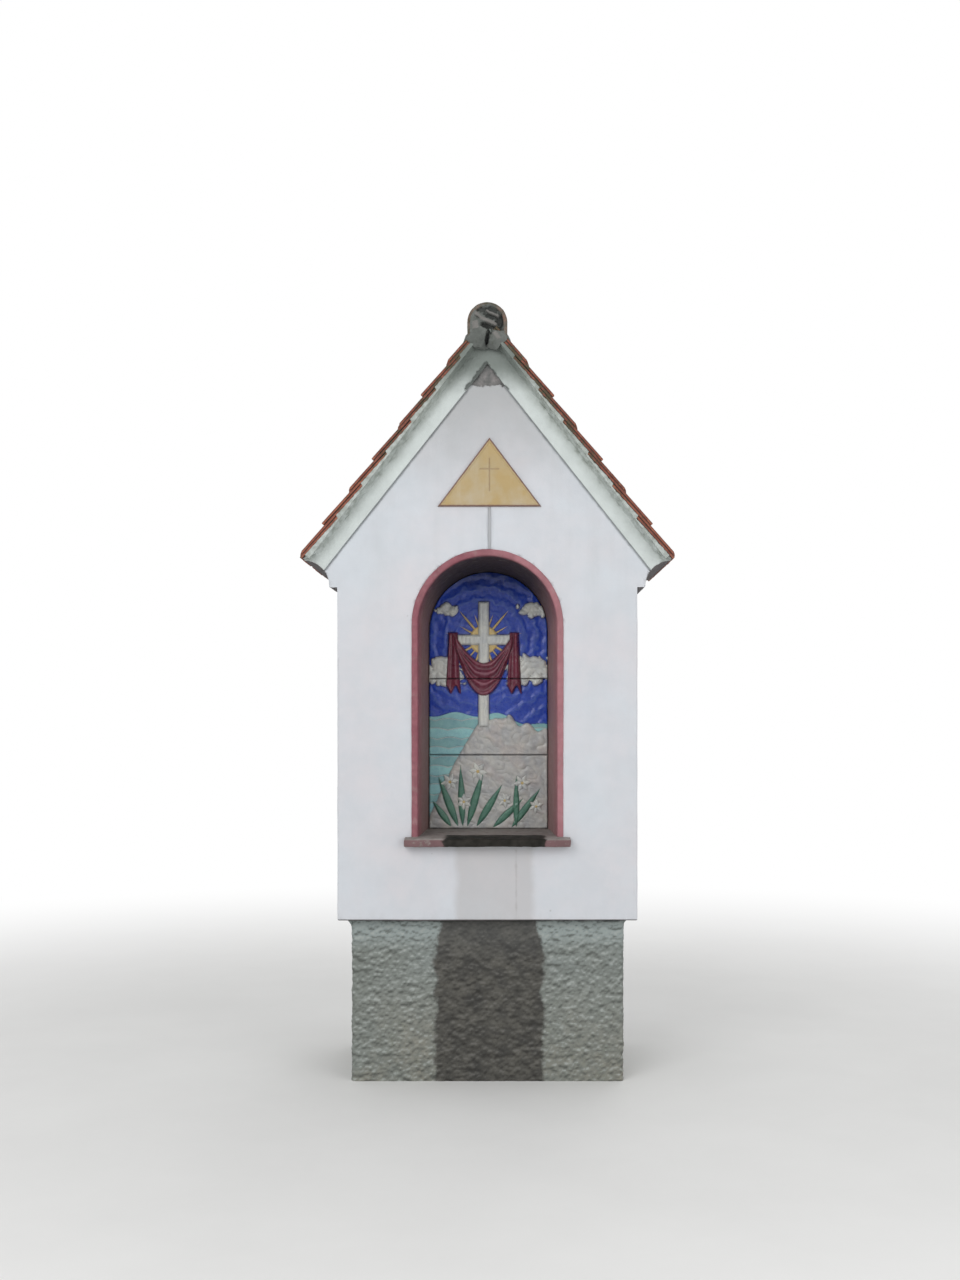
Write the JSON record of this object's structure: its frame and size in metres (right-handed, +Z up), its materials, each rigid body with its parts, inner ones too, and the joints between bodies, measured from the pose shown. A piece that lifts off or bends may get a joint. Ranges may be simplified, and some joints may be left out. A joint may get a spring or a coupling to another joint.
{
  "type": "wayside shrine",
  "caption": "Wayside shrine: white rendered pillar on a grey plinth, arched niche with a glazed relief, small triangular plaque, steep tiled gable roof and ridge.",
  "frame": {"origin": "on the ground, in the middle of the roof's footprint, which is also the middle of the plinth", "axes": "+Z up, the niche faces -Y, +X to the right of someone facing the niche"},
  "size_m": [1.504, 0.92, 3.1115],
  "materials": {
    "white_render": "limewashed lime render on masonry, slightly uneven",
    "cement_render": "rough-cast grey cement render with a damp stain",
    "red_paint": "dull pink-red paint on render, worn",
    "glazed_relief": "glazed ceramic relief in blue, cream, ochre and wine red",
    "ochre_paint": "ochre paint with a thin brown border",
    "roof_tile": "weathered orange-red plain clay tiles",
    "ridge_tile": "mossy, grey-brown half-round clay ridge tiles",
    "mortar": "grey bedding mortar"
  },
  "bodies": {
    "root": {"back_wall": "white_render", "front_gable": "white_render", "front_left_raking_band": "white_render", "front_ridge_tile": "ridge_tile", "front_right_raking_band": "white_render", "left_eave_tiles": "roof_tile", "left_eaves_cornice": "white_render", "left_niche_jamb": "red_paint", "left_pier": "white_render", "left_plinth_cove": "cement_render", "left_tile_course_1": "roof_tile", "left_tile_course_2": "roof_tile", "left_tile_course_3": "roof_tile", "left_tile_course_4": "roof_tile", "left_tile_course_5": "roof_tile", "left_tile_course_6": "roof_tile", "left_tile_course_7": "roof_tile", "lower_relief": "glazed_relief", "lower_wall": "white_render", "middle_relief": "glazed_relief", "middle_ridge_tile": "ridge_tile", "niche_arch": "red_paint", "niche_sill": "red_paint", "plinth": "cement_render", "rear_gable": "white_render", "rear_left_raking_band": "white_render", "rear_ridge_tile": "ridge_tile", "rear_right_raking_band": "white_render", "ridge_mortar": "mortar", "right_eave_tiles": "roof_tile", "right_eaves_cornice": "white_render", "right_niche_jamb": "red_paint", "right_pier": "white_render", "right_plinth_cove": "cement_render", "right_tile_course_1": "roof_tile", "right_tile_course_2": "roof_tile", "right_tile_course_3": "roof_tile", "right_tile_course_4": "roof_tile", "right_tile_course_5": "roof_tile", "right_tile_course_6": "roof_tile", "right_tile_course_7": "roof_tile", "roof_mortar_bed": "mortar", "triangle_plaque": "ochre_paint", "upper_relief": "glazed_relief"}
  },
  "joints": []
}
